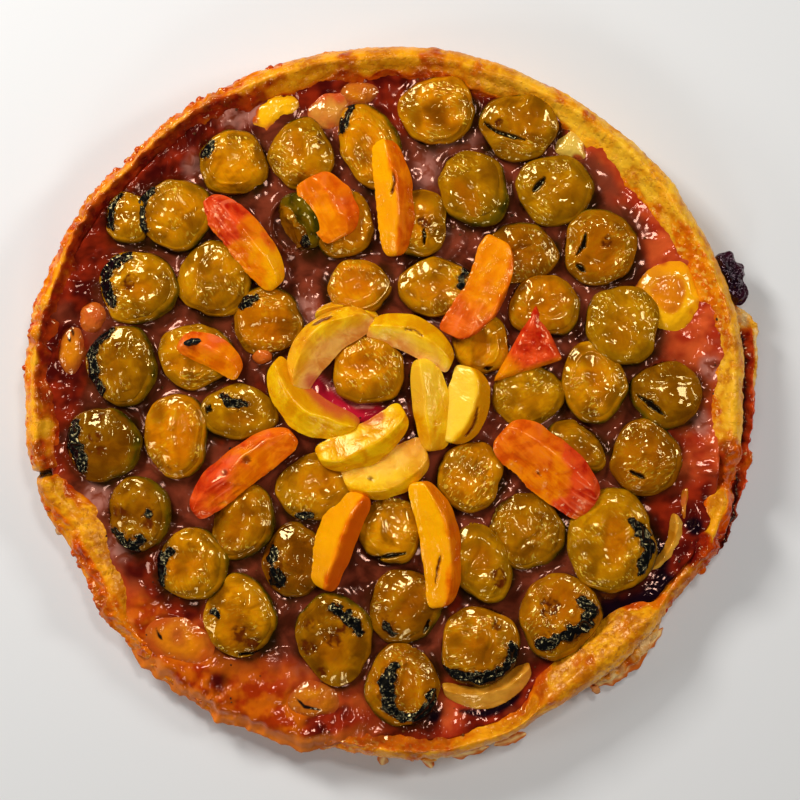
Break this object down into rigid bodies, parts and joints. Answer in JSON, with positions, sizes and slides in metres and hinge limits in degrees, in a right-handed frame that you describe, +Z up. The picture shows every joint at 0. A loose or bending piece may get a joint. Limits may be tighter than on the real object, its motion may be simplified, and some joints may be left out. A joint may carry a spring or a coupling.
{
  "type": "fruit tart",
  "caption": "Round baked fruit tart: shortcrust shell with a rounded rim, filled with custard and jam, topped with plum halves and peach slices round a small rosette.",
  "frame": {"origin": "middle of the flat underside, where the tart rests", "axes": "+Z up out of the filling, +Y towards the top of the picture, +X towards its right"},
  "size_m": [0.3009, 0.2915, 0.0305],
  "materials": {
    "pastry": "baked shortcrust, golden, dull with glossy spots where jam ran over it",
    "custard_and_jam": "wet set custard stained by red jam, glossy",
    "plum": "baked plum flesh, wet, with olive skin and charred edges",
    "peach": "baked peach flesh, wet, orange to red",
    "pale_peach": "baked pale peach flesh, wet, yellow"
  },
  "bodies": {
    "root": {"custard_and_jam": "custard_and_jam", "pastry_shell": "pastry", "peach_slice_low_left": "peach", "peach_slice_low_right": "peach", "peach_slice_lower_left": "peach", "peach_slice_right": "peach", "peach_slice_upper_left": "peach", "plum_half_01": "plum", "plum_half_02": "plum", "plum_half_03": "plum", "plum_half_04": "plum", "plum_half_05": "plum", "plum_half_06": "plum", "plum_half_07": "plum", "plum_half_08": "plum", "plum_half_09": "plum", "plum_half_10": "plum", "plum_half_11": "plum", "plum_half_12": "plum", "plum_half_13": "plum", "plum_half_14": "plum", "plum_half_15": "plum", "plum_half_16": "plum", "plum_half_17": "plum", "plum_half_18": "plum", "plum_half_19": "plum", "plum_half_20": "plum", "plum_half_21": "plum", "plum_half_22": "plum", "plum_half_23": "plum", "plum_half_24": "plum", "plum_half_25": "plum", "plum_half_26": "plum", "plum_half_27": "plum", "plum_half_28": "plum", "plum_half_29": "plum", "plum_half_30": "plum", "plum_half_31": "plum", "plum_half_32": "plum", "plum_half_33": "plum", "plum_half_34": "plum", "plum_half_35": "plum", "plum_half_36": "plum", "plum_half_37": "plum", "plum_half_38": "plum", "plum_half_39": "plum", "plum_half_40": "plum", "plum_half_41": "plum", "plum_half_42": "plum", "plum_half_pair": "plum", "plum_half_with_crescent": "peach", "plum_half_with_curl": "peach", "plum_half_with_long_slice": "peach", "plum_half_with_shard": "peach", "plum_half_with_short_slice": "peach", "rosette_slice_upper_left": "pale_peach", "rosette_slice_upper_right": "pale_peach", "rosette_slices_below": "pale_peach", "rosette_slices_right": "pale_peach"}
  },
  "joints": []
}
